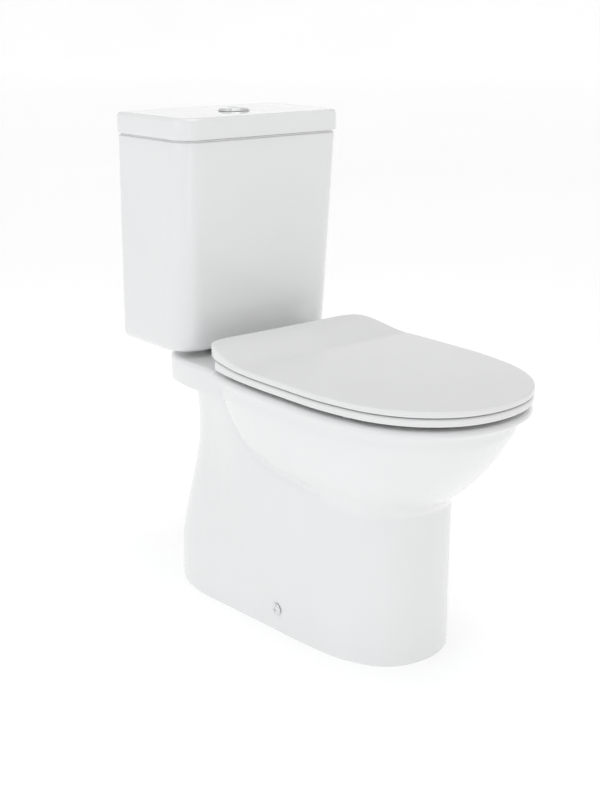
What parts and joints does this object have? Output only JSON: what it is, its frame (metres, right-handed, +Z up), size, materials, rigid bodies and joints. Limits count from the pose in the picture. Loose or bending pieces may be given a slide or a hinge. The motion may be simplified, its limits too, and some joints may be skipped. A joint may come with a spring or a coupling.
{
  "type": "close coupled toilet",
  "caption": "Close coupled toilet: glazed pan with a cistern on its rear shelf, dual flush button in the cistern lid, hinged D-shaped seat and lid.",
  "frame": {"origin": "on the floor, under the centre of the toilet's width and length", "axes": "+Z up, the nose of the pan points to -Y, the wall is at +Y, +X to the right of a person facing the toilet"},
  "size_m": [0.3422, 0.7055, 0.784],
  "materials": {
    "china": "high gloss white glaze",
    "seat_plastic": "gloss white moulded resin",
    "chrome": "polished plating",
    "steel": "zinc plated",
    "rubber": "matt black",
    "buffer": "soft translucent white",
    "valve_plastic": "moulded white",
    "blue_plastic": "moulded blue"
  },
  "bodies": {
    "fixed": {"cistern_tank": "china", "doughnut_gasket": "rubber", "fill_valve_body": "valve_plastic", "fill_valve_nut": "valve_plastic", "fill_valve_seal": "rubber", "floor_bracket_left": "valve_plastic", "floor_bracket_right": "valve_plastic", "floor_screw_left": "steel", "floor_screw_right": "steel", "flush_valve_body": "valve_plastic", "flush_valve_nut": "valve_plastic", "hinge_pin_left": "steel", "hinge_pin_right": "steel", "hinge_post_left": "chrome", "hinge_post_right": "chrome", "hinge_stud_left": "steel", "hinge_stud_right": "steel", "hinge_washer_left": "rubber", "hinge_washer_right": "rubber", "hinge_wing_nut_left": "valve_plastic", "hinge_wing_nut_right": "valve_plastic", "pan": "china", "side_screw_left": "chrome", "side_screw_right": "chrome", "tank_bolt_left": "steel", "tank_bolt_right": "steel", "tank_bolt_seal_left": "rubber", "tank_bolt_seal_right": "rubber", "tank_bolt_washer_left": "rubber", "tank_bolt_washer_right": "rubber", "tank_wing_nut_left": "steel", "tank_wing_nut_right": "steel"},
    "cistern_lid": {"cistern_lid": "china", "button_bezel": "chrome", "bezel_nut": "valve_plastic"},
    "full_flush_button": {"full_flush_button": "chrome", "full_flush_rod": "valve_plastic"},
    "half_flush_button": {"half_flush_button": "chrome", "half_flush_rod": "blue_plastic"},
    "flush_piston": {"flush_seal": "rubber", "overflow_tube": "blue_plastic"},
    "fill_float": {"fill_float": "blue_plastic"},
    "seat_ring": {"seat_ring": "seat_plastic", "ring_buffer_front_left": "buffer", "ring_buffer_front_right": "buffer", "ring_buffer_rear_left": "buffer", "ring_buffer_rear_right": "buffer"},
    "seat_lid": {"seat_lid": "seat_plastic", "lid_buffer_left": "buffer", "lid_buffer_right": "buffer"}
  },
  "joints": [
    {"name": "lid_hinge", "type": "hinge", "parent": "fixed", "child": "seat_lid", "pos_m": [0, 0.104, 0.432], "axis": [-1, 0, 0], "range_deg": [0, 95]},
    {"name": "seat_ring_hinge", "type": "hinge", "parent": "fixed", "child": "seat_ring", "pos_m": [0, 0.104, 0.432], "axis": [-1, 0, 0], "range_deg": [0, 92]},
    {"name": "cistern_lid_lift", "type": "slide", "parent": "fixed", "child": "cistern_lid", "axis": [0, 0, 1], "range_m": [0, 0.12]},
    {"name": "full_flush_press", "type": "slide", "parent": "cistern_lid", "child": "full_flush_button", "axis": [0, 0, -1], "range_m": [0, 0.006], "stiffness_N_per_m": 400, "springref_m": -0.008},
    {"name": "half_flush_press", "type": "slide", "parent": "cistern_lid", "child": "half_flush_button", "axis": [0, 0, -1], "range_m": [0, 0.006], "stiffness_N_per_m": 400, "springref_m": -0.008},
    {"name": "flush_piston_lift", "type": "slide", "parent": "fixed", "child": "flush_piston", "axis": [0, 0, 1], "range_m": [0, 0.014]},
    {"name": "fill_float_rise", "type": "slide", "parent": "fixed", "child": "fill_float", "axis": [0, 0, 1], "range_m": [0, 0.06]}
  ],
  "couplings": [
    {"joint": "seat_ring_hinge", "follows": "lid_hinge", "ratio": 0.96},
    {"joint": "flush_piston_lift", "follows": "full_flush_press", "ratio": 2.2}
  ]
}
